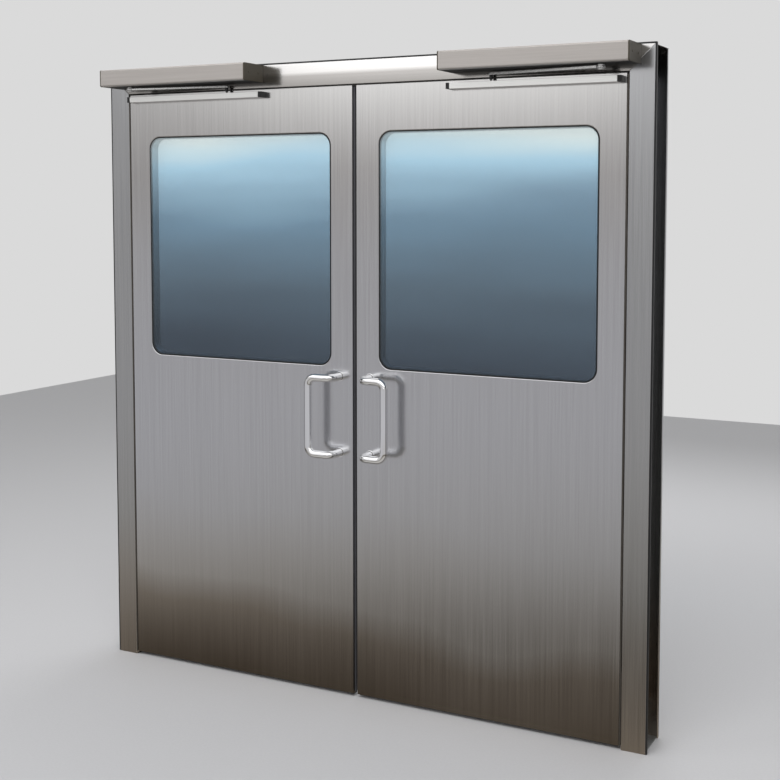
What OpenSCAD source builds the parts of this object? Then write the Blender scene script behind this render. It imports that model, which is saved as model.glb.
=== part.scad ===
// Pair of stainless steel swing doors in a pressed steel frame.
// Each leaf has a flush double-glazed window, an offset pull handle, a full-height pin hinge
// and an overhead operator whose arm runs in a track on the leaf.
// X runs to the right, Y into the wall and Z up. The origin is on the underside of the left
// floor anchor, midway between its two bolts.

/* [Frame] */
// Width of the frame over its two outer edges
frame_w = 1981; // [1700:1:2400]
// Height of the frame above the floor
frame_h = 2108; // [2000:1:2550]
// Width of the frame's face
face_w = 76; // [60:1:100]
// Depth of the frame through the wall
jamb_depth = 146; // [125:1:220]
// Height of the door stop above the rabbet
stop_h = 16; // [12:1:25]
// Depth of the door stop
stop_depth = 46; // [30:1:60]
// Width of the returns that close on the wall
return_w = 12; // [8:1:20]
// Thickness of the frame's sheet
sheet_t = 2; // [1.2:0.1:3]
// Width of the bead between the frame and the wall
bead_w = 5; // [3:0.5:10]
// Depth of that bead
bead_depth = 10; // [4:0.5:12]

/* [Floor anchors] */
// Thickness of an anchor's plate
anchor_t = 3; // [2:0.5:6]
// Height of an anchor's upright leg
anchor_leg_h = 60; // [40:1:120]
// Distance between an anchor's two bolts
anchor_bolt_gap = 76; // [50:1:90]
// Radius of an anchor's bolt holes
anchor_hole_r = 4.5; // [3:0.5:6.5]

/* [Leaves] */
// Thickness of a leaf
leaf_t = 44.5; // [38:0.5:50]
// Gap between a leaf and the jamb it hangs on
hinge_gap = 7; // [7:0.5:9]
// Gap between a leaf and the head
head_gap = 5; // [5:0.5:10]
// Gap between the two leaves
meeting_gap = 16; // [16:0.5:24]
// Gap between a leaf and the floor
undercut = 12; // [10:1:25]

/* [Seals] */
// Thickness of the seal on the door stop
stop_seal_t = 4.5; // [3:0.5:6]
// Gap between that seal and the back of a closed leaf
stop_gap = 1; // [0.5:0.5:3]
// Thickness of the seal on a leaf's meeting edge
meeting_seal_t = 4; // [2:0.5:5]
// Width of the seal on a leaf's meeting edge
meeting_seal_w = 24; // [12:1:36]
// Height of the sweep under a leaf
sweep_h = 7; // [4:0.5:8]
// Depth of the sweep under a leaf
sweep_depth = 20; // [10:1:36]

/* [Hinges] */
// Radius of a hinge's pin
pin_r = 1.3; // [1:0.05:1.5]
// Running clearance round the pin
pin_clearance = 0.08; // [0.02:0.01:0.1]
// Outer radius of a hinge's knuckles
knuckle_r = 2.75; // [2.2:0.05:3]
// Number of knuckles along a hinge
knuckles = 9; // [5:2:21]
// Gap between two knuckles
knuckle_gap = 0.5; // [0.3:0.1:2]
// How far the hinge axis stands in front of the leaf's face
hinge_out = 0.5; // [0.5:0.1:3]
// Thickness of a hinge's plates
hinge_plate_t = 1.2; // [1:0.1:1.5]
// Distance of a hinge's plates from the leaf's back
hinge_plate_margin = 6.5; // [3:0.5:15]

/* [Windows] */
// Width of the cut-out in a leaf
window_w = 736; // [400:1:780]
// Height of the cut-out in a leaf
window_h = 768; // [400:1:900]
// Height of the cut-out's lower edge above the floor
window_z = 1110; // [1100:1:1150]
// Corner radius of the cut-out
window_r = 43; // [20:1:80]
// Width of the gasket round each pane
gasket_w = 3; // [2:0.5:6]
// Thickness of a pane
pane_t = 5; // [4:0.5:8]
// How far a pane lies behind the leaf's face
pane_recess = 1; // [0.5:0.5:3]
// Thickness of the liner round the space between the panes
liner_t = 6; // [4:0.5:12]
// Clearance round the liner, the gaskets and the panes
glazing_clearance = 0.3; // [0.1:0.1:1]

/* [Pull handles] */
// Radius of the handle's tube
tube_r = 12.7; // [8:0.1:16]
// Distance between the handle's two posts
post_gap = 254; // [200:1:400]
// Height of the handle's middle above the floor
handle_z = 950; // [850:1:960]
// Distance of the posts from the leaf's meeting edge
post_inset = 48; // [30:1:80]
// Sideways offset of the grip from its posts
grip_offset = 85; // [70:1:110]
// Distance of the grip's centre line from the leaf
grip_out = 64; // [50:1:90]
// Centre-line radius of the handle's bends
bend_r = 26; // [20:1:30]
// Radius of the flange under each post
flange_r = 16; // [14:0.5:22]
// Thickness of the flange under each post
flange_t = 3; // [2:0.5:6]
// Radius of the bolts through the leaf
bolt_r = 5; // [3:0.5:7]
// Clearance round the bolts through the leaf
bolt_clearance = 0.25; // [0.1:0.05:1]
// Radius of the bolt heads on the leaf's back
bolt_head_r = 12; // [9:0.5:16]
// Thickness of the bolt heads on the leaf's back
bolt_head_t = 4; // [2:0.5:8]

/* [Operators] */
// Length of an operator's housing
operator_l = 600; // [560:1:720]
// Height of an operator's housing
operator_h = 58; // [50:1:64]
// Depth of an operator's housing
operator_d = 115; // [110:1:160]
// Distance of the housing from the frame's outer edge
operator_inset = 42; // [15:1:60]
// Radius of the cover's front edges
cover_r = 6; // [3:0.5:12]
// Thickness of the cover's sheet
cover_t = 2; // [1:0.1:3]
// Width of the lip that turns under the housing
cover_lip = 14; // [8:1:30]
// Thickness of the housing's end caps
cap_t = 4; // [2:0.5:8]
// Thickness of the base's back plate
back_plate_t = 6; // [3:0.5:10]
// Thickness of the base's bottom plate
bottom_plate_t = 4; // [3:0.5:8]
// Length of the drive unit inside the housing
drive_l = 240; // [150:1:400]
// Length of the drive unit on the hinge side of the spindle
drive_wall = 28; // [20:1:30]
// Clearance between the base and the cover
cover_clearance = 0.3; // [0.1:0.1:1]

/* [Arms] */
// Distance of the spindle from the hinge axis along the wall
spindle_along = 60; // [50:1:90]
// Distance of the spindle behind the housing's front
spindle_setback = 44.5; // [35:0.5:50]
// Radius of the spindle
spindle_r = 8; // [6:0.5:10]
// Clearance round the spindle
spindle_clearance = 0.25; // [0.1:0.05:1]
// Length of the spindle inside the drive unit
spindle_reach = 30; // [15:1:35]
// Distance between the spindle and the roller
arm_l = 370; // [330:1:400]
// Width of the arm
arm_w = 20; // [14:1:20]
// Radius of the arm's hub
hub_r = 14; // [12:0.5:18]
// Thickness of the arm
arm_t = 7; // [5:0.5:8]
// Gap between the arm and the housing above it
arm_gap = 6; // [5:0.5:7]
// Radius of the screw head under the spindle
screw_head_r = 10; // [9:0.5:13]
// Thickness of that screw head
screw_head_t = 4; // [2:0.5:4.5]

/* [Tracks] */
// Length of a track
track_l = 560; // [540:1:640]
// Depth of a track
track_d = 30; // [28:1:36]
// Height of a track
track_h = 19; // [16:1:26]
// Distance of the track's top below the leaf's top
track_drop = 8; // [6:1:20]
// Distance of the track from the hinge axis
track_inset = 12; // [12:1:60]
// Thickness of the track's walls
track_wall = 2.5; // [1.5:0.1:4]
// Width of the slot along the track's top
slot_w = 16; // [15.5:0.5:20]
// Length of a track's end caps
track_cap_l = 12; // [4:1:20]
// Radius of the roller in the track
roller_r = 3; // [2.5:0.1:3.5]
// Radius of the bush between the arm and the track
bush_r = 5.5; // [4:0.5:6]

/* [Hidden] */
left = 1;
right = -1;
$fn = 64;
// How far a cut reaches past the faces that it opens
past = 1;

// Height of the opening under the head and half its width between the rabbets
head_z = frame_h - face_w;
half_opening = frame_w / 2 - face_w;
// Depth of the rabbet in front of the door stop
rabbet = leaf_t + stop_gap + stop_seal_t;

// Plan of the anchors, seen from the middle of the doorway
anchor_room = 1;
anchor_l = jamb_depth - 2 * sheet_t;
anchor_w = face_w - 2 * (sheet_t + anchor_room);
anchor_x = -half_opening - sheet_t - anchor_w / 2;
anchor_y = jamb_depth / 2;

// Place and size of the left leaf; the right leaf mirrors it
leaf_w = half_opening - hinge_gap - meeting_gap / 2;
leaf_x = -half_opening + hinge_gap;
leaf_end_x = -meeting_gap / 2;
leaf_top = head_z - head_gap;
leaf_h = leaf_top - undercut;
window_x = leaf_x + (leaf_w - window_w) / 2;

// Hinge axis of the left leaf, and the height that its knuckles share
axis_x = -half_opening + hinge_gap / 2;
axis_y = -hinge_out;
web_overlap = 1;
hinge_end = 3;
hinge_z = undercut + hinge_end;
hinge_l = leaf_h - 2 * hinge_end;
knuckle_pitch = hinge_l / knuckles;
knuckle_room = 1.5;
plate_y = axis_y + knuckle_r + knuckle_room;
plate_end_y = leaf_t - hinge_plate_margin;

// Pull handle of the left leaf
post_x = leaf_end_x - post_inset;
grip_x = post_x - grip_offset;
grip_l = post_gap - 2 * bend_r;

// Left operator
operator_x = -frame_w / 2 + operator_inset;
operator_z = frame_h - operator_h;
bore_r = spindle_r + spindle_clearance;

// Left arm, its spindle and the track that its roller runs in
spindle_x = axis_x + spindle_along;
spindle_y = spindle_setback - operator_d;
slot_y = -track_d / 2;
arm_z = operator_z - arm_gap - arm_t;
arm_turn = asin((slot_y - spindle_y) / arm_l);
track_x = axis_x + track_inset;
track_z = leaf_top - track_drop - track_h;
collar_r = hub_r - 2;
collar_h = arm_gap - 1;
roller_depth = 12;
bush_gap = 5;

// ---- helpers ----

// Moves a piece from the middle of the doorway to the frame with its origin on the left anchor
module at_origin() {
    translate([-anchor_x, -anchor_y, 0]) children();
}

// Places a piece drawn for the left side on that side, or mirrors it to the right
module on_side(side) {
    at_origin() mirror([side == left ? 0 : 1, 0, 0]) children();
}

// Box between two opposite corners
module block(low, high) {
    translate(low) cube(high - low);
}

// Rectangle between two opposite corners
module patch(low, high) {
    translate(low) square(high - low);
}

// Prism along Y over an outline drawn in X and Z
module through_wall(y0, y1) {
    translate([0, y1, 0]) rotate([90, 0, 0]) linear_extrude(y1 - y0) children();
}

// Rectangle with round corners
module round_patch(w, h, r) {
    translate([r, 0]) square([w - 2 * r, h]);
    translate([0, r]) square([w, h - 2 * r]);
    for (x = [r, w - r], y = [r, h - r])
        translate([x, y]) circle(r);
}

// Cylinder towards the viewer, from depth y0 back to depth y1
module along_y(r, y0, y1) {
    translate([0, y1, 0]) rotate([90, 0, 0]) cylinder(r = r, h = y1 - y0);
}

// ---- frame ----

// Bent sheet in section: X counts from the frame's outer edge, Y from its face
module frame_section() {
    stop_end = rabbet + stop_depth;
    inner = face_w - sheet_t;
    patch([0, 0], [sheet_t, return_w]);
    patch([0, 0], [face_w, sheet_t]);
    patch([inner, 0], [face_w, rabbet + sheet_t]);
    patch([inner, rabbet], [face_w + stop_h, rabbet + sheet_t]);
    patch([face_w + stop_h - sheet_t, rabbet], [face_w + stop_h, stop_end]);
    patch([inner, stop_end - sheet_t], [face_w + stop_h, stop_end]);
    patch([inner, stop_end - sheet_t], [face_w, jamb_depth]);
    patch([0, jamb_depth - sheet_t], [face_w, jamb_depth]);
    patch([0, jamb_depth - return_w], [sheet_t, jamb_depth]);
}

// Jamb with its top mitred to meet the header
module jamb() {
    reach = face_w + stop_h + past;
    color("#8a8681") translate([-frame_w / 2, 0, 0]) intersection() {
        linear_extrude(frame_h) frame_section();
        through_wall(-past, jamb_depth + past)
            polygon([[0, 0], [0, frame_h], [reach, frame_h - reach], [reach, 0]]);
    }
}

// Header, mitred at both ends
module header() {
    reach = face_w + stop_h + past;
    half = frame_w / 2;
    color("#9a9691") intersection() {
        translate([-half, 0, frame_h]) rotate([0, 90, 0])
            linear_extrude(frame_w) frame_section();
        through_wall(-past, jamb_depth + past) polygon([
            [-half, frame_h], [half, frame_h],
            [half - reach, frame_h - reach], [-half + reach, frame_h - reach],
        ]);
    }
}

// Upside-down U in X and Z between two offsets from the frame's outer edges
module surround(inner, outer) {
    half_in = frame_w / 2 - inner;
    half_out = frame_w / 2 - outer;
    polygon([
        [-half_out, 0], [-half_out, frame_h - outer], [half_out, frame_h - outer], [half_out, 0],
        [half_in, 0], [half_in, frame_h - inner], [-half_in, frame_h - inner], [-half_in, 0],
    ]);
}

// Dark bead that closes the joint between the frame and the wall
module wall_bead() {
    color("#111214") through_wall(0, bead_depth) surround(0, -bead_w);
}

// Seal on the front of the door stop
module stop_seal() {
    margin = 2;
    color("#2b2b2d") through_wall(rabbet - stop_seal_t, rabbet)
        surround(face_w + stop_h - margin, face_w + margin);
}

// Angle inside the jamb's foot, with two bolts into the floor
module floor_anchor() {
    x0 = anchor_x - anchor_w / 2;
    x1 = anchor_x + anchor_w / 2;
    color("#a9abad") difference() {
        union() {
            block([x0, sheet_t, 0], [x1, sheet_t + anchor_l, anchor_t]);
            block([x1 - anchor_t, sheet_t, 0], [x1, rabbet, anchor_leg_h]);
        }
        for (side = [-1, 1])
            translate([anchor_x, anchor_y + side * anchor_bolt_gap / 2, -past])
                cylinder(r = anchor_hole_r, h = anchor_t + 2 * past);
    }
}

// ---- hinges ----

// Height of the lower end of knuckle number i
function knuckle_z(i) = hinge_z + i * knuckle_pitch + knuckle_gap / 2;

// Web that joins a knuckle to the plate at x0 to x1
module knuckle_web(i, x0, x1) {
    z = knuckle_z(i);
    block([x0, axis_y, z], [x1, plate_y + web_overlap, z + knuckle_pitch - knuckle_gap]);
}

// Fixed half of the hinge, with the pin
module hinge_frame_plate() {
    x0 = -half_opening;
    x1 = x0 + hinge_plate_t;
    color("#55524e") {
        block([x0, plate_y, hinge_z], [x1, plate_end_y, hinge_z + hinge_l]);
        translate([axis_x, axis_y, hinge_z]) cylinder(r = pin_r, h = hinge_l);
        for (i = [0:2:knuckles - 1]) {
            knuckle_web(i, x0, x1);
            translate([axis_x, axis_y, knuckle_z(i)])
                cylinder(r = knuckle_r, h = knuckle_pitch - knuckle_gap);
        }
    }
}

// Moving half of the hinge, with bored knuckles
module hinge_leaf_plate() {
    x1 = leaf_x;
    x0 = x1 - hinge_plate_t;
    color("#55524e") difference() {
        union() {
            block([x0, plate_y, hinge_z], [x1, plate_end_y, hinge_z + hinge_l]);
            for (i = [1:2:knuckles - 1]) {
                knuckle_web(i, x0, x1);
                translate([axis_x, axis_y, knuckle_z(i)])
                    cylinder(r = knuckle_r, h = knuckle_pitch - knuckle_gap);
            }
        }
        translate([axis_x, axis_y, hinge_z - past])
            cylinder(r = pin_r + pin_clearance, h = hinge_l + 2 * past);
    }
}

// ---- leaves ----

// Outline of the window cut-out, drawn in by the given amount on every side
module window_outline(inset) {
    translate([window_x + inset, window_z + inset])
        round_patch(window_w - 2 * inset, window_h - 2 * inset, window_r - inset);
}

// Ring between two insets of the window cut-out
module window_ring(outer, inner) {
    difference() {
        window_outline(outer);
        window_outline(inner);
    }
}

// Door leaf with its window and the holes for the handle's bolts
module leaf_panel() {
    color("#8f8d8b") difference() {
        block([leaf_x, 0, undercut], [leaf_end_x, leaf_t, leaf_top]);
        through_wall(-past, leaf_t + past) window_outline(0);
        at_posts() along_y(bolt_r + bolt_clearance, -past, leaf_t + past);
    }
}

// Liner between the two panes
module window_liner() {
    seat = pane_recess + pane_t;
    color("#3c4548") through_wall(seat, leaf_t - seat)
        window_ring(glazing_clearance, liner_t);
}

// Gaskets round the front pane and the rear pane
module window_gaskets() {
    seat = pane_recess + pane_t;
    color("#0d0e0f") {
        through_wall(0, seat) window_ring(glazing_clearance, gasket_w);
        through_wall(leaf_t - seat, leaf_t) window_ring(glazing_clearance, gasket_w);
    }
}

// Pane whose outer face lies at depth y
module pane(y) {
    color("#9fb4c0", 0.5) through_wall(y, y + pane_t)
        window_outline(gasket_w + glazing_clearance);
}

// Seal on the leaf's meeting edge
module meeting_seal() {
    y0 = (leaf_t - meeting_seal_w) / 2;
    color("#3a3a3c") block(
        [leaf_end_x, y0, hinge_z],
        [leaf_end_x + meeting_seal_t, y0 + meeting_seal_w, hinge_z + hinge_l]
    );
}

// Sweep under the leaf
module bottom_sweep() {
    y0 = (leaf_t - sweep_depth) / 2;
    color("#151516") block(
        [leaf_x + hinge_end, y0, undercut - sweep_h],
        [leaf_end_x - hinge_end, y0 + sweep_depth, undercut]
    );
}

// ---- pull handles ----

// Puts its children at the foot of each post
module at_posts() {
    for (z = [handle_z - post_gap / 2, handle_z + post_gap / 2])
        translate([post_x, 0, z]) children();
}

// Quarter bend of the tube in the XY plane, from +X at the origin's right to +Y above it
module quarter_bend() {
    rotate_extrude(angle = 90) translate([bend_r, 0]) circle(tube_r);
}

// Upper or lower half of the handle: post, two bends and the piece between them
module handle_arm() {
    out = grip_out - bend_r;
    run = grip_offset - 2 * bend_r;
    along_y(flange_r, -flange_t, 0);
    along_y(tube_r, -out, 0);
    translate([-bend_r, -out, 0]) rotate([0, 0, -90]) quarter_bend();
    translate([-bend_r, -grip_out, 0]) rotate([0, -90, 0]) cylinder(r = tube_r, h = run);
    translate([-bend_r - run, -grip_out, bend_r]) rotate([90, 0, 180])
        rotate([0, 0, -90]) quarter_bend();
}

// Pull handle: two posts that crank sideways to an upright grip
module pull_handle() {
    color("#c9cacc") {
        translate([post_x, 0, handle_z - post_gap / 2]) handle_arm();
        translate([post_x, 0, handle_z + post_gap / 2]) mirror([0, 0, 1]) handle_arm();
        translate([grip_x, -grip_out, handle_z - grip_l / 2]) cylinder(r = tube_r, h = grip_l);
    }
}

// Bolts that hold the handle, with their heads on the leaf's back
module handle_bolts() {
    color("#b4b5b6") at_posts() {
        along_y(bolt_r, 0, leaf_t);
        along_y(bolt_head_r, leaf_t, leaf_t + bolt_head_t);
    }
}

// ---- operators ----

// Outline of the housing in section, drawn in by the given amount and open towards the wall
// as far as the depth back: X is the height and Y the depth
module operator_section(inset, back) {
    h = operator_h - 2 * inset;
    d = operator_d - inset;
    r = cover_r - inset;
    translate([inset, -d]) {
        patch([0, r], [h, d + back]);
        patch([r, 0], [h - r, d]);
        for (x = [r, h - r])
            translate([x, r]) circle(r);
    }
}

// Prism along X over an outline whose X is the height
module along_wall(x0, x1) {
    translate([x0, 0, operator_z]) mirror([0, 0, 1]) rotate([0, 90, 0])
        linear_extrude(x1 - x0) children();
}

// Sheet cover over the operator's front and top, with a lip turned under it
module operator_cover() {
    color("#aaa6a3") along_wall(operator_x + cap_t, operator_x + operator_l - cap_t)
        difference() {
            operator_section(0, 0);
            operator_section(cover_t, past);
            patch([-past, cover_lip - operator_d], [operator_h / 2, past]);
        }
}

// Plates that close the two ends of the housing
module operator_end_caps() {
    color("#4c473b") {
        for (x = [operator_x, operator_x + operator_l - cap_t])
            along_wall(x, x + cap_t) operator_section(0, 0);
    }
}

// Base plates and drive unit, bored for the arm's spindle
module operator_base() {
    x0 = operator_x + cap_t;
    x1 = operator_x + operator_l - cap_t;
    inside = operator_z + operator_h - cover_t - cover_clearance;
    front = cover_lip - operator_d;
    drive_x = spindle_x - drive_wall;
    color("#16171a") difference() {
        union() {
            block([x0, -back_plate_t, operator_z], [x1, 0, inside]);
            block([x0, front, operator_z], [x1, 0, operator_z + bottom_plate_t]);
            block([drive_x, front, operator_z], [drive_x + drive_l, 0, inside]);
        }
        translate([spindle_x, spindle_y, operator_z - past])
            cylinder(r = bore_r, h = spindle_reach + 2 * past);
    }
}

// ---- arms and tracks ----

// Turns what is drawn along +X from the spindle into the arm's direction at rest
module at_spindle() {
    translate([spindle_x, spindle_y, 0]) rotate([0, 0, arm_turn]) children();
}

// Flat arm with a hub at the spindle and a round end at the roller
module arm() {
    color("#b9babb") at_spindle() translate([0, 0, arm_z]) difference() {
        linear_extrude(arm_t) {
            translate([0, -arm_w / 2]) square([arm_l, arm_w]);
            translate([arm_l, 0]) circle(arm_w / 2);
            circle(hub_r);
        }
        translate([0, 0, -past]) cylinder(r = bore_r, h = arm_t + 2 * past);
        translate([arm_l, 0, -past])
            cylinder(r = roller_r + spindle_clearance, h = arm_t + 2 * past);
    }
}

// Spindle with a collar above the arm and a screw head below it
module arm_spindle() {
    color("#d6d7d8") translate([spindle_x, spindle_y, 0]) {
        translate([0, 0, arm_z]) cylinder(r = spindle_r, h = arm_t + arm_gap + spindle_reach);
        translate([0, 0, arm_z + arm_t]) cylinder(r = collar_r, h = collar_h);
        translate([0, 0, arm_z - screw_head_t]) cylinder(r = screw_head_r, h = screw_head_t);
    }
}

// Pin and bush at the arm's end, reaching down into the track
module arm_roller() {
    track_top = track_z + track_h;
    color("#26272a") at_spindle() translate([arm_l, 0, 0]) {
        translate([0, 0, track_top - roller_depth])
            cylinder(r = roller_r, h = arm_z + arm_t - track_top + roller_depth);
        translate([0, 0, track_top + bush_gap])
            cylinder(r = bush_r, h = arm_z - track_top - bush_gap);
    }
}

// Open-topped channel on the leaf's face
module track() {
    lip = (track_d - slot_w) / 2;
    color("#c8c8c8") translate([track_x + track_cap_l, 0, track_z]) rotate([90, 0, 90])
        linear_extrude(track_l - 2 * track_cap_l) {
            patch([-track_d, 0], [0, track_wall]);
            patch([-track_d, 0], [track_wall - track_d, track_h]);
            patch([-track_wall, 0], [0, track_h]);
            patch([-track_d, track_h - track_wall], [lip - track_d, track_h]);
            patch([-lip, track_h - track_wall], [0, track_h]);
        }
}

// Dark caps on the track's ends
module track_end_caps() {
    color("#0c0c0d") for (x = [track_x, track_x + track_l - track_cap_l])
        block([x, -track_d, track_z], [x + track_cap_l, 0, track_z + track_h]);
}

// ---- nodes ----

on_side(left) jamb();  // left_jamb
on_side(right) jamb();  // right_jamb
at_origin() header();
at_origin() wall_bead();
at_origin() stop_seal();
on_side(left) floor_anchor();  // left_floor_anchor
on_side(right) floor_anchor();  // right_floor_anchor
on_side(left) hinge_frame_plate();  // left_hinge_frame_plate
on_side(right) hinge_frame_plate();  // right_hinge_frame_plate
on_side(left) operator_base();  // left_operator_base
on_side(right) operator_base();  // right_operator_base
on_side(left) operator_cover();  // left_operator_cover
on_side(right) operator_cover();  // right_operator_cover
on_side(left) operator_end_caps();  // left_operator_end_caps
on_side(right) operator_end_caps();  // right_operator_end_caps
on_side(left) leaf_panel();  // left_leaf_panel
on_side(right) leaf_panel();  // right_leaf_panel
on_side(left) window_liner();  // left_window_liner
on_side(right) window_liner();  // right_window_liner
on_side(left) window_gaskets();  // left_window_gaskets
on_side(right) window_gaskets();  // right_window_gaskets
on_side(left) pane(pane_recess);  // left_front_pane
on_side(right) pane(pane_recess);  // right_front_pane
on_side(left) pane(leaf_t - pane_recess - pane_t);  // left_rear_pane
on_side(right) pane(leaf_t - pane_recess - pane_t);  // right_rear_pane
on_side(left) pull_handle();  // left_pull_handle
on_side(right) pull_handle();  // right_pull_handle
on_side(left) handle_bolts();  // left_handle_bolts
on_side(right) handle_bolts();  // right_handle_bolts
on_side(left) hinge_leaf_plate();  // left_hinge_leaf_plate
on_side(right) hinge_leaf_plate();  // right_hinge_leaf_plate
on_side(left) meeting_seal();  // left_meeting_seal
on_side(right) meeting_seal();  // right_meeting_seal
on_side(left) bottom_sweep();  // left_bottom_sweep
on_side(right) bottom_sweep();  // right_bottom_sweep
on_side(left) track();  // left_track
on_side(right) track();  // right_track
on_side(left) track_end_caps();  // left_track_end_caps
on_side(right) track_end_caps();  // right_track_end_caps
on_side(left) arm();  // left_arm
on_side(right) arm();  // right_arm
on_side(left) arm_spindle();  // left_arm_spindle
on_side(right) arm_spindle();  // right_arm_spindle
on_side(left) arm_roller();  // left_arm_roller
on_side(right) arm_roller();  // right_arm_roller
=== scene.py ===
"""Looks of a pair of stainless steel swing doors in a pressed steel frame.

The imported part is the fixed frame. Every class below dresses one sub-assembly: it builds
finished meshes for the pieces that show, and gives the rest their material.
"""

import logging
import math
from dataclasses import dataclass, field
from enum import Enum

import bmesh
import bpy
from mathutils import Matrix, Vector

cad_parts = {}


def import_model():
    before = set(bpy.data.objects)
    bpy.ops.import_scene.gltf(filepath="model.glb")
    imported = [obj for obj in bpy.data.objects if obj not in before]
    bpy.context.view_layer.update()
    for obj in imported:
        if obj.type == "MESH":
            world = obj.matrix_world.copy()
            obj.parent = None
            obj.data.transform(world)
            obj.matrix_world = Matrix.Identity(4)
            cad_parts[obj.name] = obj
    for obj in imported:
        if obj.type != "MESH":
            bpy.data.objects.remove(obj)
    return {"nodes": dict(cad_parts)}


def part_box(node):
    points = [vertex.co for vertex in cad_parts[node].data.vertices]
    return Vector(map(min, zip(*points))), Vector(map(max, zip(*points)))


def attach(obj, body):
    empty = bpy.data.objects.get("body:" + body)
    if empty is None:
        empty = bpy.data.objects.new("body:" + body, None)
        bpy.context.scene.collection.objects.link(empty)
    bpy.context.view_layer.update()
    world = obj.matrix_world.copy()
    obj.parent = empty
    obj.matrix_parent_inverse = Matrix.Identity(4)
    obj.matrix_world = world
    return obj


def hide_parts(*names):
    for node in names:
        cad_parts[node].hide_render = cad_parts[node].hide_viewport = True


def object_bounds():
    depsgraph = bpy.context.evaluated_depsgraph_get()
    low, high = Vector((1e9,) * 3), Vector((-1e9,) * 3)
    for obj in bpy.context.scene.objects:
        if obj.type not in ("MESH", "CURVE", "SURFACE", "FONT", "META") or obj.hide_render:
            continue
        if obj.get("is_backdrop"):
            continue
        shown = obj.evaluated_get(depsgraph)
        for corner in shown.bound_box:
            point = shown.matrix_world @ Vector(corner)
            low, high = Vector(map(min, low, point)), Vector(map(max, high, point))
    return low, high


LOG = logging.getLogger("double_doors")
MM = 0.001
# A face wider than this is a flat sheet, and a narrower one belongs to a rounding or a tube.
FLAT_WIDTH = 4 * MM
# Direction from the doors' face towards the viewer.
FRONT = Vector((0, -1, 0))


class Side(Enum):
    """The two leaves and what belongs to them, as seen from the front."""

    LEFT = "left"
    RIGHT = "right"

    @property
    def sign(self) -> int:
        """1 on the left and -1 on the right, along X away from the jamb."""
        return 1 if self is Side.LEFT else -1


class Grain(Enum):
    """Direction in which a steel sheet was brushed, with the stretch of its streaks."""

    UPRIGHT = (1.0, 1.0, 0.012)
    LEVEL = (0.012, 1.0, 1.0)
    NONE = (1.0, 1.0, 1.0)


# ---- node materials ----


def linear(hex_colour: str) -> tuple[float, float, float, float]:
    """Turns an sRGB hex colour to linear RGBA.

    Args:
        hex_colour: colour as "#rrggbb".

    Returns:
        Linear red, green, blue and an alpha of 1.
    """
    values = [int(hex_colour[i : i + 2], 16) / 255 for i in (1, 3, 5)]
    return (*[v / 12.92 if v <= 0.04045 else ((v + 0.055) / 1.055) ** 2.4 for v in values], 1.0)


def add_node(
    tree: bpy.types.NodeTree, kind: str, settings: dict | None = None, links: dict | None = None
) -> bpy.types.Node:
    """Adds a node with its settings and links.

    Args:
        tree: node tree that gets the node.
        kind: Blender's name of the node type.
        settings: node properties by name, input values by input name or index, and the stops
            of a colour ramp as positions with their sRGB hex colours.
        links: input name or index to the output socket that feeds it.

    Returns:
        The new node.
    """
    node = tree.nodes.new(kind)
    for key, value in (settings or {}).items():
        if key == "stops":
            elements = node.color_ramp.elements
            while len(elements) < len(value):
                elements.new(0.5)
            for element, (position, colour) in zip(elements, value):
                element.position = position
                element.color = linear(colour)
        elif isinstance(key, str) and hasattr(node, key):
            setattr(node, key, value)
        else:
            node.inputs[key].default_value = value
    for key, socket in (links or {}).items():
        tree.links.new(socket, node.inputs[key])
    return node


@dataclass(frozen=True)
class Finish:
    """A finish with a colour, a roughness and a fine pattern in its bump and its colour."""

    name: str
    colour: str
    shade: str
    roughness: float
    metallic: float = 0.0
    grain_mm: float = 2.0
    grain: Grain = Grain.NONE
    bump: float = 0.1
    bump_depth: float = 0.2 * MM
    roughness_spread: float = 0.06
    tone_range: tuple[float, float] = (0.3, 0.7)

    def pattern(self, tree: bpy.types.NodeTree) -> bpy.types.NodeSocket:
        """Noise at the grain's real size, stretched along the grain.

        Args:
            tree: node tree of the material.

        Returns:
            Socket with the pattern from 0 to 1.
        """
        place = add_node(tree, "ShaderNodeTexCoord")
        mapping = add_node(
            tree,
            "ShaderNodeMapping",
            {"Scale": self.grain.value},
            {"Vector": place.outputs["Object"]},
        )
        noise = add_node(
            tree,
            "ShaderNodeTexNoise",
            {"Scale": 1 / (self.grain_mm * MM), "Detail": 3.0, "Roughness": 0.6},
            {"Vector": mapping.outputs["Vector"]},
        )
        return noise.outputs["Fac"]

    def colour_socket(
        self, tree: bpy.types.NodeTree, pattern: bpy.types.NodeSocket
    ) -> bpy.types.NodeSocket:
        """Colour between the shade and the main colour, after the pattern."""
        stops = list(zip(self.tone_range, (self.shade, self.colour)))
        tones = add_node(tree, "ShaderNodeValToRGB", {"stops": stops}, {"Fac": pattern})
        return tones.outputs["Color"]

    def material(self) -> bpy.types.Material:
        """Builds the node material.

        Returns:
            The material, made once and found again by its name.
        """
        known = bpy.data.materials.get(self.name)
        if known:
            return known
        made = bpy.data.materials.new(self.name)
        made.use_nodes = True
        tree = made.node_tree
        tree.nodes.clear()
        pattern = self.pattern(tree)
        rough = add_node(
            tree,
            "ShaderNodeMapRange",
            {
                "To Min": self.roughness - self.roughness_spread,
                "To Max": self.roughness + self.roughness_spread,
            },
            {"Value": pattern},
        )
        bump = add_node(
            tree,
            "ShaderNodeBump",
            {"Strength": self.bump, "Distance": self.bump_depth},
            {"Height": pattern},
        )
        shader = add_node(
            tree,
            "ShaderNodeBsdfPrincipled",
            {"Metallic": self.metallic},
            {
                "Base Color": self.colour_socket(tree, pattern),
                "Roughness": rough.outputs["Result"],
                "Normal": bump.outputs["Normal"],
            },
        )
        out = add_node(tree, "ShaderNodeOutputMaterial")
        tree.links.new(shader.outputs["BSDF"], out.inputs["Surface"])
        return made


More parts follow.
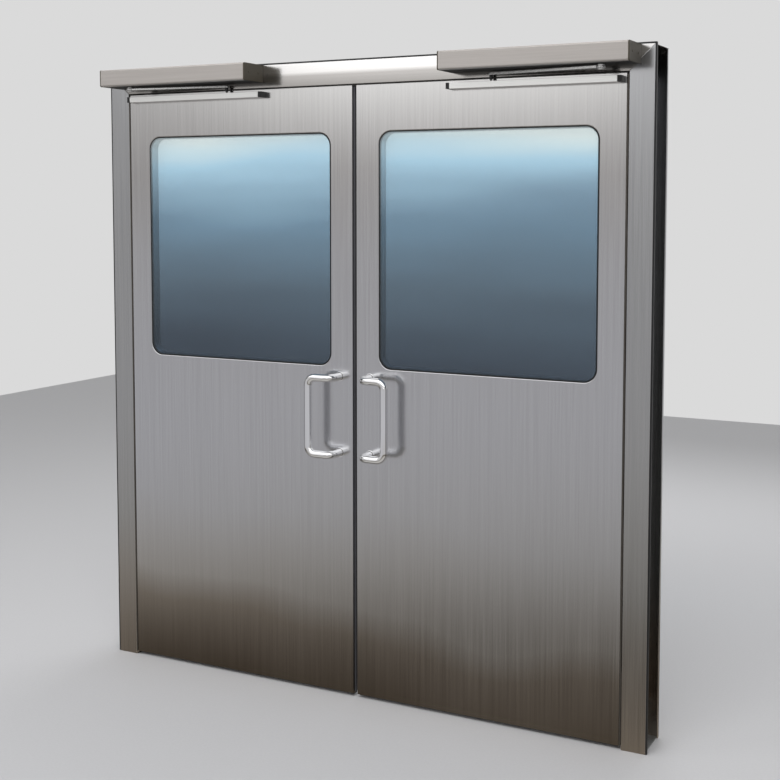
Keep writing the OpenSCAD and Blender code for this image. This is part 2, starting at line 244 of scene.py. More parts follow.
@dataclass(frozen=True)
class SheetSteel(Finish):
    """Brushed steel whose colour changes along the height to paint in reflections and shade, with
    the edges of the painted bands made wavy.
    """

    low: float = 0.0
    high: float = 2.0
    # Size of the noise that makes the edges of the painted bands wavy.
    smear_scale: float = 1.1
    drift: float = 0.35
    # Colours along the height: painted reflections and painted shade.
    stops: tuple[tuple[float, str], ...] = ()

    def colour_socket(
        self, tree: bpy.types.NodeTree, pattern: bpy.types.NodeSocket
    ) -> bpy.types.NodeSocket:
        """Colour along the height, with the grain's streaks over it. A large soft noise makes the
        height wander, so the painted bands of reflection and shade have wavy edges.

        Args:
            tree: node tree of the material.
            pattern: socket with the grain's pattern.

        Returns:
            The colour socket.
        """
        place = add_node(tree, "ShaderNodeTexCoord")
        height_wave = add_node(
            tree,
            "ShaderNodeTexNoise",
            {"Scale": self.smear_scale, "Detail": 2.0},
            {"Vector": place.outputs["Object"]},
        )
        split = add_node(tree, "ShaderNodeSeparateXYZ", links={0: place.outputs["Object"]})
        wander = add_node(
            tree,
            "ShaderNodeMath",
            {"operation": "MULTIPLY_ADD", 1: self.drift},
            {0: height_wave.outputs["Fac"], 2: split.outputs["Z"]},
        )
        height = add_node(
            tree,
            "ShaderNodeMapRange",
            {"From Min": self.low + self.drift / 2, "From Max": self.high + self.drift / 2},
            {"Value": wander.outputs[0]},
        )
        base = add_node(
            tree, "ShaderNodeValToRGB", {"stops": self.stops}, {"Fac": height.outputs["Result"]}
        )
        mix = add_node(
            tree,
            "ShaderNodeMix",
            {"data_type": "RGBA", "blend_type": "MULTIPLY", "Factor": 1.0},
            {6: base.outputs["Color"], 7: super().colour_socket(tree, pattern)},
        )
        return mix.outputs[2]


# Type 304 sheet, brushed with a No. 4 belt: satin, with long upright streaks. The real lines
# are about 0.1 mm apart, and they are drawn 5 mm apart so that they show from across a room.
LEAF_STEEL = SheetSteel(
    "brushed_leaf_steel",
    "#ffffff",
    "#f4f4f4",
    0.18,
    metallic=1.0,
    grain_mm=5.0,
    grain=Grain.UPRIGHT,
    bump=0.04,
    roughness_spread=0.03,
    low=0.0,
    high=2.03,
    # Darker and warmer towards the floor, a painted reflection of the floor, and a slightly darker
    # band near the top, painted shade below the operator.
    stops=(
        (0.0, "#82776b"),
        (0.11, "#aea69d"),
        (0.16, "#cbc9c7"),
        (0.3, "#d0d1d4"),
        (0.7, "#cbcbcd"),
        (0.86, "#c2c0bf"),
        (1.0, "#cfcecd"),
    ),
)
# The same steel on the jambs, a little darker and warmer towards the floor: a painted reflection of
# the floor.
JAMB_STEEL = SheetSteel(
    "brushed_jamb_steel",
    "#ffffff",
    "#f2f2f2",
    0.2,
    metallic=1.0,
    grain_mm=5.0,
    grain=Grain.UPRIGHT,
    bump=0.05,
    low=0.0,
    high=2.1,
    stops=((0.0, "#b9aea2"), (0.25, "#babab9"), (1.0, "#babbbd")),
)
# Steel of the header, brushed along its length: darker low down, painted shade under the operator,
# and paler towards its upper fold, a painted highlight.
HEADER_STEEL = SheetSteel(
    "brushed_header_steel",
    "#ffffff",
    "#f0f0f0",
    0.16,
    metallic=1.0,
    grain_mm=5.0,
    grain=Grain.LEVEL,
    bump=0.04,
    low=2.032,
    high=2.108,
    drift=0.0,
    stops=((0.0, "#a3a09d"), (0.45, "#bcb9b6"), (0.6, "#efedeb"), (1.0, "#f6f5f4")),
)
# Liner between the panes: the same sheet, bluish in the light that the glass lets in.
LINER_STEEL = Finish(
    "satin_liner_steel", "#a9b8be", "#94a4aa", 0.35, metallic=1.0, grain_mm=4.0, bump=0.04
)
# Tube polished to a mirror: sharp reflections with faint buffing marks.
POLISHED_STEEL = Finish(
    "polished_handle_steel",
    "#f3f3f4",
    "#ebebec",
    0.06,
    metallic=1.0,
    grain_mm=3.0,
    grain=Grain.UPRIGHT,
    bump=0.01,
    roughness_spread=0.02,
)
# Turned bolt heads, satin.
BOLT_STEEL = Finish(
    "turned_bolt_steel", "#bcbdbe", "#a9aaab", 0.25, metallic=1.0, grain_mm=1.5, bump=0.04
)
# Rolled hinge strip, duller than the leaves, and painted darker as shade in the narrow gap where it
# shows.
HINGE_STEEL = Finish(
    "rolled_hinge_steel", "#6f6b66", "#59554f", 0.42, metallic=1.0, grain_mm=3.0, bump=0.08
)
# Galvanised anchors: dull grey with a mottled coat.
ANCHOR_STEEL = Finish(
    "galvanised_anchor_steel", "#b2b5b7", "#8f9396", 0.5, metallic=0.9, grain_mm=6.0, bump=0.1
)
# Forged arm with a satin nickel coat.
ARM_STEEL = Finish(
    "nickel_plated_arm", "#d0d0cf", "#bebebd", 0.27, metallic=1.0, grain_mm=3.0,
    grain=Grain.LEVEL, bump=0.04,
)
# Bright turned spindle and its screw.
SPINDLE_STEEL = Finish(
    "bright_spindle_steel", "#dededd", "#cbcbca", 0.18, metallic=1.0, grain_mm=1.5, bump=0.02
)
# Extruded track, clear anodised: pale silver with lines along its length.
TRACK_ALUMINIUM = Finish(
    "anodised_track_aluminium", "#f4f4f2", "#e6e6e4", 0.3, metallic=1.0, grain_mm=2.5,
    grain=Grain.LEVEL, bump=0.06,
)
# Extruded cover, clear anodised and matt: pale warm grey, even, with faint lines.
COVER_ALUMINIUM = Finish(
    "anodised_cover_aluminium", "#bab5b1", "#b0aba7", 0.34, metallic=0.7, grain_mm=3.0,
    grain=Grain.LEVEL, bump=0.05,
)
# Zinc castings with a dark bronze paint, slightly pebbled.
END_CAP_PAINT = Finish(
    "bronze_end_cap_paint", "#474133", "#37322a", 0.5, grain_mm=1.2, bump=0.2,
)
# Cast base with a black powder coat.
BASE_PAINT = Finish("black_powder_coat", "#1b1c1e", "#121315", 0.55, grain_mm=1.0, bump=0.25)
# Extruded rubber round the panes: black with a dull sheen.
GLAZING_RUBBER = Finish("black_glazing_rubber", "#121314", "#0a0b0b", 0.55, grain_mm=1.5, bump=0.1)
# Hollow seal of the stop and the meeting edges: charcoal rubber.
SEAL_RUBBER = Finish("grey_seal_rubber", "#56565a", "#434347", 0.6, grain_mm=1.5, bump=0.12)
# Bead of black sealant, smoothed by hand, so a little wavy.
BEAD_SEALANT = Finish("black_bead_sealant", "#17181a", "#0e0f10", 0.42, grain_mm=12.0, bump=0.25)
# Nylon bristles: black, with fine upright lines.
SWEEP_BRUSH = Finish(
    "nylon_sweep_brush", "#222224", "#09090a", 0.7, grain_mm=1.5, grain=Grain.UPRIGHT, bump=0.6
)
# Moulded end caps of the tracks: black ABS with a spark-eroded texture.
BLACK_PLASTIC = Finish("black_moulded_abs", "#141415", "#0d0d0e", 0.4, grain_mm=0.8, bump=0.15)
# Roller of black acetal on a steel pin.
ROLLER_PLASTIC = Finish("black_acetal_roller", "#2a2b2d", "#1d1e20", 0.3, grain_mm=1.0, bump=0.05)


@dataclass(frozen=True)
class TintedGlass:
    """Toughened glass with a blue-grey tint, darker towards its lower edge as painted shade and
    near white at its upper edge as a painted highlight.

    The tint takes most of the light. The smooth outer faces reflect a little, more towards the
    upper edge, where the share is raised to paint in a brighter reflection.
    """

    name: str = "blue_grey_glass"
    low: float = 1.11
    high: float = 1.878
    mirror: tuple[float, float] = (0.08, 0.2)
    mirror_from: float = 0.6
    waviness: float = 0.3
    streak_mm: float = 400.0
    # Tint from the lower edge up: darker low down as painted shade, near white at the top as a
    # painted highlight; a noise makes the bands wavy.
    stops: tuple[tuple[float, str], ...] = (
        (0.0, "#b1b9c1"),
        (0.3, "#c5cfd6"),
        (0.65, "#d3e0e8"),
        (0.88, "#eaf7fd"),
        (1.0, "#fbffff"),
    )

    def material(self) -> bpy.types.Material:
        """Builds the node material.

        Returns:
            The material, made once and found again by its name.
        """
        known = bpy.data.materials.get(self.name)
        if known:
            return known
        made = bpy.data.materials.new(self.name)
        made.use_nodes = True
        tree = made.node_tree
        tree.nodes.clear()
        place = add_node(tree, "ShaderNodeTexCoord")
        split = add_node(tree, "ShaderNodeSeparateXYZ", links={0: place.outputs["Object"]})
        height = add_node(
            tree,
            "ShaderNodeMapRange",
            {"From Min": self.low, "From Max": self.high},
            {"Value": split.outputs["Z"]},
        )
        level = add_node(
            tree,
            "ShaderNodeMapping",
            {"Scale": (0.35, 1.0, 2.2)},
            {"Vector": place.outputs["Object"]},
        )
        ripple = add_node(
            tree,
            "ShaderNodeTexNoise",
            {"Scale": 1 / (self.streak_mm * MM), "Detail": 2.0},
            {"Vector": level.outputs["Vector"]},
        )
        waviness = add_node(
            tree,
            "ShaderNodeMath",
            {"operation": "MULTIPLY_ADD", 1: self.waviness},
            {0: ripple.outputs["Fac"], 2: height.outputs["Result"]},
        )
        wavy_height = add_node(
            tree,
            "ShaderNodeMath",
            {"operation": "SUBTRACT", 1: self.waviness / 2},
            {0: waviness.outputs[0]},
        )
        tint = add_node(
            tree, "ShaderNodeValToRGB", {"stops": self.stops}, {"Fac": wavy_height.outputs[0]}
        ).outputs["Color"]
        # Reflection takes a larger share towards the upper edge: a painted reflection there.
        share = add_node(
            tree,
            "ShaderNodeMapRange",
            {
                "From Min": self.mirror_from,
                "To Min": self.mirror[0],
                "To Max": self.mirror[1],
            },
            {"Value": height.outputs["Result"]},
        )
        bump = add_node(
            tree,
            "ShaderNodeBump",
            {"Strength": 0.004, "Distance": 0.1 * MM},
            {"Height": ripple.outputs["Fac"]},
        )
        clear = add_node(tree, "ShaderNodeBsdfTransparent", links={"Color": tint})
        shine = add_node(
            tree,
            "ShaderNodeBsdfPrincipled",
            {"Metallic": 0.2, "Roughness": 0.04},
            {"Base Color": tint, "Normal": bump.outputs["Normal"]},
        )
        mix = add_node(
            tree,
            "ShaderNodeMixShader",
            links={
                "Fac": share.outputs["Result"],
                1: clear.outputs["BSDF"],
                2: shine.outputs["BSDF"],
            },
        )
        out = add_node(tree, "ShaderNodeOutputMaterial")
        tree.links.new(mix.outputs["Shader"], out.inputs["Surface"])
        return made


GLASS = TintedGlass()
# Sealed concrete floor of the studio: pale and matt.
STUDIO_FLOOR = Finish("studio_floor_coat", "#c9c9cb", "#c5c5c7", 0.8, grain_mm=8.0, bump=0.02)


# ---- mesh helpers ----


def new_piece(
    name: str, bm: bmesh.types.BMesh, finish: Finish | TintedGlass, smooth_deg: float = 40.0
) -> bpy.types.Object:
    """Makes an object of a finished bmesh, at the origin.

    Args:
        name: name of the piece.
        bm: the mesh, which is freed.
        finish: finish of the whole piece.
        smooth_deg: edges flatter than this angle are shaded smooth.

    Returns:
        The linked object.
    """
    bmesh.ops.recalc_face_normals(bm, faces=bm.faces)
    mesh = bpy.data.meshes.new(name)
    for face in bm.faces:
        face.smooth = 2 * face.calc_area() / face.calc_perimeter() < FLAT_WIDTH
    for edge in bm.edges:
        if len(edge.link_faces) == 2 and edge.calc_face_angle(0) > math.radians(smooth_deg):
            edge.smooth = False
    bm.to_mesh(mesh)
    bm.free()
    mesh.materials.append(finish.material())
    made = bpy.data.objects.new(name, mesh)
    bpy.context.scene.collection.objects.link(made)
    return made


def sharp_edges(bm: bmesh.types.BMesh, least_deg: float) -> list[bmesh.types.BMEdge]:
    """Edges whose two faces turn by more than the given angle."""
    return [
        e
        for e in bm.edges
        if len(e.link_faces) == 2 and e.calc_face_angle(0) > math.radians(least_deg)
    ]


def soften(bm: bmesh.types.BMesh, width: float, segments: int = 2, least_deg: float = 35.0) -> None:
    """Rounds the sharp edges of a mesh.

    Args:
        bm: the mesh.
        width: width of the rounding in metres.
        segments: number of faces across the rounding.
        least_deg: only edges sharper than this are rounded.
    """
    bmesh.ops.bevel(
        bm,
        geom=sharp_edges(bm, least_deg),
        offset=width,
        offset_type="OFFSET",
        affect="EDGES",
        segments=segments,
        profile=0.5,
        material=-1,
        clamp_overlap=True,
    )


def add_disc(
    bm: bmesh.types.BMesh, centre: Vector, axis: Vector, radius: float, length: float, tip: float
) -> None:
    """Adds a short cylinder with a chamfered front.

    Args:
        bm: the mesh.
        centre: middle of its back face.
        axis: direction from its back to its front.
        radius: radius of the cylinder.
        length: length along the axis.
        tip: width of the chamfer.
    """
    turn = axis.to_track_quat("Z", "Y").to_matrix().to_4x4()
    made = bmesh.ops.create_cone(
        bm,
        cap_ends=True,
        segments=40,
        radius1=radius,
        radius2=radius,
        depth=length,
        matrix=Matrix.Translation(centre + axis * length / 2) @ turn,
    )["verts"]
    front = [
        e
        for v in made
        for e in v.link_edges
        if all((w.co - centre).dot(axis) > length * 0.9 for w in e.verts)
    ]
    bmesh.ops.bevel(
        bm,
        geom=list(set(front)),
        offset=tip,
        affect="EDGES",
        segments=2,
        profile=0.5,
        material=-1,
    )


def merged_copy(node: bpy.types.Object) -> bmesh.types.BMesh:
    """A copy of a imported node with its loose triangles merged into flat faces.

    Args:
        node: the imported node, which is left alone.

    Returns:
        The closed mesh.
    """
    bm = bmesh.new()
    bm.from_mesh(node.data)
    bmesh.ops.remove_doubles(bm, verts=bm.verts, dist=0.005 * MM)
    bmesh.ops.dissolve_limit(
        bm, angle_limit=math.radians(0.5), verts=bm.verts, edges=bm.edges, delimit=set()
    )
    return bm


@dataclass
class Assembly:
    """Base of the sub-assemblies: what every one needs to dress its pieces."""

    nodes: dict[str, bpy.types.Object]
    made: list[str] = field(default_factory=list)

    def keep(self, node: str, finish: Finish | TintedGlass, slot: str) -> bpy.types.Object:
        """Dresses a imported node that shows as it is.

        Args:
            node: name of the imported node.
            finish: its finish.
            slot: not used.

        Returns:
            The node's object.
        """
        shown = self.nodes[node]
        shown.data.materials.clear()
        shown.data.materials.append(finish.material())
        self.made.append(node)
        return shown

    def place(self, piece: bpy.types.Object, body: str, slot: str, *nodes: str) -> None:
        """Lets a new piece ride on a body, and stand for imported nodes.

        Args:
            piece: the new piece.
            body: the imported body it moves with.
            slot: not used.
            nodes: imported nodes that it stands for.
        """
        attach(piece, body)
        if nodes:
            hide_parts(*nodes)
        self.made.append(piece.name)

    def softened(
        self,
        node: str,
        body: str,
        finish: Finish | TintedGlass,
        slot: str,
        width: float,
        segments: int = 2,
    ) -> bpy.types.Object:
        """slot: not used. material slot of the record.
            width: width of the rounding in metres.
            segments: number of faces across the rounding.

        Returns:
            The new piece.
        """
        bm = merged_copy(self.nodes[node])
        soften(bm, width, segments)
        piece = new_piece(f"{node}_finished", bm, finish)
        self.place(piece, body, slot, node)
        return piece


# ---- sub-assemblies ----


@dataclass
class DoorFrame(Assembly):
    """Pressed frame with its bead, its stop seal and its floor anchors."""

    fold_radius: float = 1.6 * MM
    bead_edge: float = 2.0 * MM
    seal_edge: float = 1.5 * MM

    def members(self) -> None:
        """Jambs and header, with the rounded folds of bent sheet."""
        for side in Side:
            name = f"{side.value}_jamb"
            self.softened(name, "frame", JAMB_STEEL, "frame_steel", self.fold_radius)
        self.softened("header", "frame", HEADER_STEEL, "frame_steel", self.fold_radius)

    def seals(self) -> None:
        """Bead round the frame and seal on the stop."""
        self.softened("wall_bead", "frame", BEAD_SEALANT, "bead_sealant", self.bead_edge, 3)
        self.softened("stop_seal", "frame", SEAL_RUBBER, "seal_rubber", self.seal_edge, 3)

    def anchors(self) -> None:
        """Anchors in the feet of the jambs."""
        for side in Side:
            self.keep(f"{side.value}_floor_anchor", ANCHOR_STEEL, "anchor_steel")

    def build(self) -> None:
        """Builds the whole frame."""
        self.members()
        self.seals()
        self.anchors()


@dataclass
class Leaf(Assembly):
    """One leaf with its glazing, hinge, seals and track."""

    side: Side = Side.LEFT
    edge: float = 1.2 * MM
    lip: float = 3.0 * MM
    lip_deg: float = 60.0
    seal_edge: float = 1.5 * MM
    hinge_edge: float = 0.25 * MM
    track_edge: float = 0.6 * MM
    cap_edge: float = 1.2 * MM
    gasket_edge: float = 0.8 * MM

    @property
    def body(self) -> str:
        """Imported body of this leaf."""
        return f"{self.side.value}_leaf"

    def node(self, name: str) -> str:
        """Name of this side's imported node."""
        return f"{self.side.value}_{name}"

    def panel(self) -> None:
        """Leaf with softly folded edges and a rounder lip where the sheet turns into the window."""
        name = self.node("leaf_panel")
        low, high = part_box(self.node("window_liner"))
        bm = merged_copy(self.nodes[name])
        lip = [
            e
            for e in sharp_edges(bm, self.lip_deg)
            if all(
                low.x - self.lip < v.co.x < high.x + self.lip
                and low.z - self.lip < v.co.z < high.z + self.lip
                for v in e.verts
            )
        ]
        bmesh.ops.bevel(
            bm,
            geom=lip,
            offset=self.lip,
            offset_type="OFFSET",
            affect="EDGES",
            segments=4,
            profile=0.5,
            material=-1,
        )
        soften(bm, self.edge, 3)
        piece = new_piece(f"{name}_finished", bm, LEAF_STEEL)
        self.place(piece, self.body, "leaf_steel", name)

    def glazing(self) -> None:
        """Panes, gaskets and the liner between the panes."""
        for name in ("front_pane", "rear_pane"):
            self.keep(self.node(name), GLASS, "glass")
        self.softened(
            self.node("window_gaskets"),
            self.body,
            GLAZING_RUBBER,
            "glazing_rubber",
            self.gasket_edge,
        )
        self.keep(self.node("window_liner"), LINER_STEEL, "liner_steel")

    def hinge(self) -> None:
        """Both halves of the full-height hinge."""
        for name, body in (("hinge_frame_plate", "frame"), ("hinge_leaf_plate", self.body)):
            self.softened(self.node(name), body, HINGE_STEEL, "hinge_steel", self.hinge_edge, 1)

    def seals(self) -> None:
        """Seal on the meeting edge and brush under the leaf."""
        self.softened(
            self.node("meeting_seal"), self.body, SEAL_RUBBER, "seal_rubber", self.seal_edge, 3
        )
        self.keep(self.node("bottom_sweep"), SWEEP_BRUSH, "sweep_brush")

    def track(self) -> None:
        """Track of the arm with its two caps."""
        self.softened(
            self.node("track"), self.body, TRACK_ALUMINIUM, "track_aluminium", self.track_edge
        )
        caps = self.node("track_end_caps")
        self.softened(caps, self.body, BLACK_PLASTIC, "black_plastic", self.cap_edge, 3)

    def build(self) -> None:
        """Builds the whole leaf."""
        self.panel()
        self.glazing()
        self.hinge()
        self.seals()
        self.track()


@dataclass
class PullHandle(Assembly):
    """Offset pull handle: one bent tube on two flanged posts, bolted through the leaf."""

    side: Side = Side.LEFT
    tube_r: float = 12.7 * MM
    bend_r: float = 26.0 * MM
    flange_r: float = 16.0 * MM
    flange_t: float = 3.0 * MM
    flange_chamfer: float = 0.8 * MM
    ring_t: float = 0.8 * MM
    ring_l: float = 1.6 * MM
    ring_chamfer: float = 0.3 * MM
    bolt_edge: float = 1.0 * MM
    segments: int = 48
    bend_steps: int = 16

    def centre_line(self) -> list[tuple[str, Vector]]:
        """Corners of the tube's centre line, from the lower post to the upper post."""
        low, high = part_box(f"{self.side.value}_pull_handle")
        sign = self.side.sign
        post_x = (high.x if sign > 0 else low.x) - sign * self.flange_r
        grip_x = (low.x if sign > 0 else high.x) + sign * self.tube_r
        out_y = low.y + self.tube_r
        face_y = high.y
        low_z = low.z + self.flange_r
        high_z = high.z - self.flange_r
        return [
            Vector((post_x, face_y, low_z)),
            Vector((post_x, out_y, low_z)),
            Vector((grip_x, out_y, low_z)),
            Vector((grip_x, out_y, high_z)),
            Vector((post_x, out_y, high_z)),
            Vector((post_x, face_y, high_z)),
        ]

    def tube(self) -> None:
        """Sweeps the tube's circle along straight runs and spun bends."""
        points = self.centre_line()
        bm = bmesh.new()
        first = (points[1] - points[0]).normalized()
        turn = first.to_track_quat("Z", "Y").to_matrix().to_4x4()
        ring = bmesh.ops.create_circle(
            bm,
            cap_ends=False,
            radius=self.tube_r,
            segments=self.segments,
            matrix=Matrix.Translation(points[0]) @ turn,
        )["verts"]
        edges = list({e for v in ring for e in v.link_edges})
        start = points[0]
        for i in range(1, len(points)):
            along = (points[i] - points[i - 1]).normalized()
            last = i == len(points) - 1
            stop = points[i] if last else points[i] - along * self.bend_r
            grown = bmesh.ops.extrude_edge_only(bm, edges=edges)["geom"]
            edges = [g for g in grown if isinstance(g, bmesh.types.BMEdge)]
            verts = [g for g in grown if isinstance(g, bmesh.types.BMVert)]
            bmesh.ops.translate(bm, verts=verts, vec=stop - start)
            edges = [e for e in edges if all(v in verts for v in e.verts)]
            if last:
                break
            after = (points[i + 1] - points[i]).normalized()
            bent = bmesh.ops.spin(
                bm,
                geom=edges,
                cent=stop + after * self.bend_r,
                axis=along.cross(after),
                angle=math.pi / 2,
                steps=self.bend_steps,
                use_duplicate=False,
            )["geom_last"]
            edges = [g for g in bent if isinstance(g, bmesh.types.BMEdge)]
            start = points[i] + after * self.bend_r
        bmesh.ops.holes_fill(bm, edges=bm.edges, sides=self.segments)
        for end in (points[0], points[-1]):
            add_disc(bm, end, FRONT, self.flange_r, self.flange_t, self.flange_chamfer)
        piece = new_piece(f"{self.side.value}_pull_handle_tube", bm, POLISHED_STEEL)
        leaf = f"{self.side.value}_leaf"
        self.place(piece, leaf, "polished_steel", f"{self.side.value}_pull_handle")

    def rings(self) -> None:
        """Thin dark washers where the posts meet the flanges."""
        points = self.centre_line()
        bm = bmesh.new()
        for end in (points[0], points[-1]):
            foot = end + FRONT * self.flange_t
            add_disc(
                bm, foot, FRONT, self.tube_r + self.ring_t, self.ring_l, self.ring_chamfer
            )
        piece = new_piece(f"{self.side.value}_handle_washers", bm, GLAZING_RUBBER)
        self.place(piece, f"{self.side.value}_leaf", "glazing_rubber")

    def bolts(self) -> None:
        """Bolts, with rounded heads that show on the leaf's back."""
        self.softened(
            f"{self.side.value}_handle_bolts",
            f"{self.side.value}_leaf",
            BOLT_STEEL,
            "bolt_steel",
            self.bolt_edge,
            3,
        )

    def build(self) -> None:
        """Builds the whole handle."""
        self.tube()
        self.rings()
        self.bolts()


@dataclass
class Operator(Assembly):
    """Overhead operator: base with its drive unit, sheet cover and cast end caps."""

    side: Side = Side.LEFT
    edge: float = 0.5 * MM
    cap_edge: float = 1.2 * MM
    screw_r: float = 3.2 * MM
    screw_t: float = 1.4 * MM
    screw_chamfer: float = 0.6 * MM
    screw_shares: tuple[float, float] = (0.25, 0.75)

    def housing(self) -> None:
        """Cover, base and end caps."""
        name = self.side.value
        self.softened(
            f"{name}_operator_cover", "frame", COVER_ALUMINIUM, "cover_aluminium", self.edge
        )
        self.softened(
            f"{name}_operator_end_caps", "frame", END_CAP_PAINT, "end_cap_paint", self.cap_edge
        )
        self.softened(
            f"{name}_operator_base", "frame", BASE_PAINT, "operator_base_paint", self.edge, 1
        )

    def screws(self) -> None:
        """Two pan-head screws in each end cap."""
        name = self.side.value
        low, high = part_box(f"{name}_operator_end_caps")
        middle = (low.z + high.z) / 2
        bm = bmesh.new()
        for x, out in ((low.x, Vector((-1, 0, 0))), (high.x, Vector((1, 0, 0)))):
            for share in self.screw_shares:
                y = low.y + (high.y - low.y) * share
                head = Vector((x, y, middle))
                add_disc(bm, head, out, self.screw_r, self.screw_t, self.screw_chamfer)
        piece = new_piece(f"{name}_end_cap_screws", bm, END_CAP_PAINT)
        self.place(piece, "frame", "end_cap_paint")

    def build(self) -> None:
        """Builds the whole operator."""
        self.housing()
        self.screws()


@dataclass
class Arm(Assembly):
    """Arm of an operator, with its spindle and its roller."""

    side: Side = Side.LEFT
    arm_edge: float = 1.0 * MM
    spindle_edge: float = 0.6 * MM
    roller_edge: float = 0.5 * MM

    def build(self) -> None:
        """Builds the arm, the spindle and the roller."""
        name = self.side.value
        body = f"{name}_arm"
        self.softened(f"{name}_arm", body, ARM_STEEL, "arm_steel", self.arm_edge, 3)
        spindle = f"{name}_arm_spindle"
        self.softened(spindle, body, SPINDLE_STEEL, "spindle_steel", self.spindle_edge)
        roller = f"{name}_arm_roller"
        self.softened(roller, body, ROLLER_PLASTIC, "roller_plastic", self.roller_edge)


# ---- studio ----


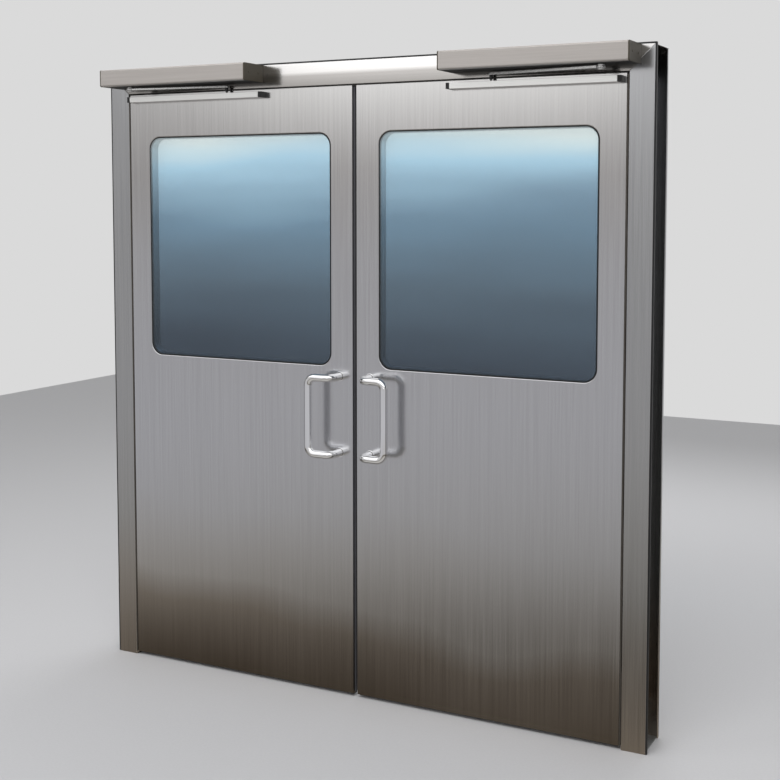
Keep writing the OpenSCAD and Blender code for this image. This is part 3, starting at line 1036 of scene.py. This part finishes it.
@dataclass
class Studio:
    """Camera, soft lights, plain floor and background."""

    eye: tuple[float, float, float] = (3.0025, -3.780, 1.656)
    yaw_deg: float = 27.39
    pitch_deg: float = -4.22
    lens: float = 59.97
    shift_y: float = -0.12
    floor_half: float = 6.0
    floor_gap: float = 0.5 * MM
    backdrop: str = "#dadada"
    fill: str = "#e8e8e8"
    fill_light: float = 0.6
    room_light: float = 1.6

    def camera(self) -> None:
        """Camera in front of the doors, to their right, at eye height."""
        data = bpy.data.cameras.new("front_camera")
        data.lens = self.lens
        data.sensor_width = 36
        data.shift_y = self.shift_y
        data.dof.use_dof = False
        made = bpy.data.objects.new("front_camera", data)
        made.location = self.eye
        made.rotation_euler = (
            math.radians(90 + self.pitch_deg),
            0,
            math.radians(self.yaw_deg),
        )
        bpy.context.scene.collection.objects.link(made)
        bpy.context.scene.camera = made

    def light(
        self, name: str, place: Vector, target: Vector, size: tuple[float, float], watts: float
    ) -> None:
        """Adds a soft rectangular light.

        Args:
            name: name of the light.
            place: where it hangs.
            target: what it points at.
            size: width and height in metres.
            watts: its power.
        """
        data = bpy.data.lights.new(name, "AREA")
        data.shape = "RECTANGLE"
        data.size, data.size_y = size
        data.energy = watts
        made = bpy.data.objects.new(name, data)
        made.visible_glossy = False
        made.location = place
        made.rotation_euler = (target - place).to_track_quat("-Z", "Y").to_euler()
        bpy.context.scene.collection.objects.link(made)

    def floor(self, low: Vector) -> None:
        """Plain pale floor under the frame.

        Args:
            low: lowest corner of the object.
        """
        bm = bmesh.new()
        bmesh.ops.create_grid(
            bm,
            x_segments=1,
            y_segments=1,
            size=self.floor_half,
            matrix=Matrix.Translation((1.0, 0, low.z - self.floor_gap)),
        )
        made = new_piece("studio_floor", bm, STUDIO_FLOOR)
        made.visible_glossy = False
        made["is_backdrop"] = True

    def world(self) -> None:
        """Even backdrop for the camera, and a bright ceiling over a dim room for the steel."""
        made = bpy.data.worlds.new("studio")
        bpy.context.scene.world = made
        made.use_nodes = True
        tree = made.node_tree
        tree.nodes.clear()
        place = add_node(tree, "ShaderNodeTexCoord")
        split = add_node(tree, "ShaderNodeSeparateXYZ", links={0: place.outputs["Generated"]})
        rise = add_node(
            tree,
            "ShaderNodeMapRange",
            {"From Min": -1.0, "From Max": 1.0},
            {"Value": split.outputs["Z"]},
        )
        room_stops = [
            (0.2, "#989693"),
            (0.288, "#8a8781"),
            (0.316, "#2e2822"),
            (0.342, "#3e372f"),
            (0.357, "#8f8c87"),
            (0.41, "#9d9da0"),
            (0.528, "#979696"),
            (0.56, "#a8a7a6"),
            (0.657, "#8f8e8d"),
            (0.725, "#ffffff"),
        ]
        room = add_node(
            tree, "ShaderNodeValToRGB", {"stops": room_stops}, {"Fac": rise.outputs["Result"]}
        )
        band_stops = [
            (0.529, "#000000"),
            (0.541, "#ffffff"),
            (0.59, "#ffffff"),
            (0.626, "#000000"),
        ]
        band = add_node(
            tree, "ShaderNodeValToRGB", {"stops": band_stops}, {"Fac": rise.outputs["Result"]}
        )
        aside = add_node(
            tree, "ShaderNodeMath", {"operation": "ABSOLUTE"}, {0: split.outputs["X"]}
        )
        reach_stops = [(0.2, "#555555"), (0.34, "#ffffff"), (0.5, "#ffffff"), (0.62, "#4a4a4a")]
        reach = add_node(
            tree, "ShaderNodeValToRGB", {"stops": reach_stops}, {"Fac": aside.outputs[0]}
        )
        panel = add_node(
            tree,
            "ShaderNodeMix",
            {"data_type": "RGBA", "blend_type": "MULTIPLY", "Factor": 1.0},
            {6: band.outputs["Color"], 7: reach.outputs["Color"]},
        )
        lit = add_node(
            tree,
            "ShaderNodeMix",
            {"data_type": "RGBA", "blend_type": "SCREEN", "Factor": 1.0},
            {6: room.outputs["Color"], 7: panel.outputs[2]},
        )
        across = add_node(
            tree, "ShaderNodeMath", {"operation": "ABSOLUTE"}, {0: split.outputs["Y"]}
        )
        side_stops = [(0.0, "#3d3b38"), (0.1, "#3d3b38"), (0.26, "#ffffff")]
        sides = add_node(
            tree, "ShaderNodeValToRGB", {"stops": side_stops}, {"Fac": across.outputs[0]}
        )
        walls = add_node(
            tree,
            "ShaderNodeMix",
            {"data_type": "RGBA", "blend_type": "MULTIPLY", "Factor": 1.0},
            {6: lit.outputs[2], 7: sides.outputs["Color"]},
        )
        path = add_node(tree, "ShaderNodeLightPath")
        plain = add_node(
            tree, "ShaderNodeBackground", {"Color": linear(self.backdrop), "Strength": 1.0}
        )
        around = add_node(
            tree,
            "ShaderNodeBackground",
            {"Strength": self.room_light},
            {"Color": walls.outputs[2]},
        )
        fill = add_node(
            tree,
            "ShaderNodeBackground",
            {"Color": linear(self.fill), "Strength": self.fill_light},
        )
        bright = add_node(
            tree,
            "ShaderNodeMixShader",
            links={
                "Fac": path.outputs["Is Glossy Ray"],
                1: fill.outputs["Background"],
                2: around.outputs["Background"],
            },
        )
        seen = add_node(
            tree,
            "ShaderNodeMixShader",
            links={
                "Fac": path.outputs["Is Camera Ray"],
                1: bright.outputs["Shader"],
                2: plain.outputs["Background"],
            },
        )
        out = add_node(tree, "ShaderNodeOutputWorld")
        tree.links.new(seen.outputs["Shader"], out.inputs["Surface"])

    def build(self, low: Vector, high: Vector) -> None:
        """Builds the studio round the object.

        Args:
            low: lowest corner of the object.
            high: highest corner of the object.
        """
        middle = (low + high) / 2
        self.camera()
        self.world()
        self.floor(low)
        self.light("high_front_light", Vector((1.6, -3.2, 4.2)), middle, (3.5, 2.0), 120)
        self.light("left_fill_light", Vector((-2.5, -3.0, 2.4)), middle, (2.0, 2.5), 40)
        self.light("rear_light", Vector((1.0, 3.5, 3.0)), middle, (3.0, 2.0), 60)


def main() -> None:
    """Builds every sub-assembly in order, then the studio."""
    logging.basicConfig(level=logging.INFO, format="%(message)s")
    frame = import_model()
    low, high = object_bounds()
    nodes = frame["nodes"]
    parts: list[Assembly] = [DoorFrame(nodes)]
    for side in Side:
        parts += [
            Leaf(nodes, side=side),
            PullHandle(nodes, side=side),
            Operator(nodes, side=side),
            Arm(nodes, side=side),
        ]
    for part in parts:
        part.build()
        for name in part.made:
            LOG.info("%s: %s", type(part).__name__, name)
    Studio().build(low, high)
    bpy.context.scene.view_settings.view_transform = "Standard"


if __name__ == "__main__":
    main()
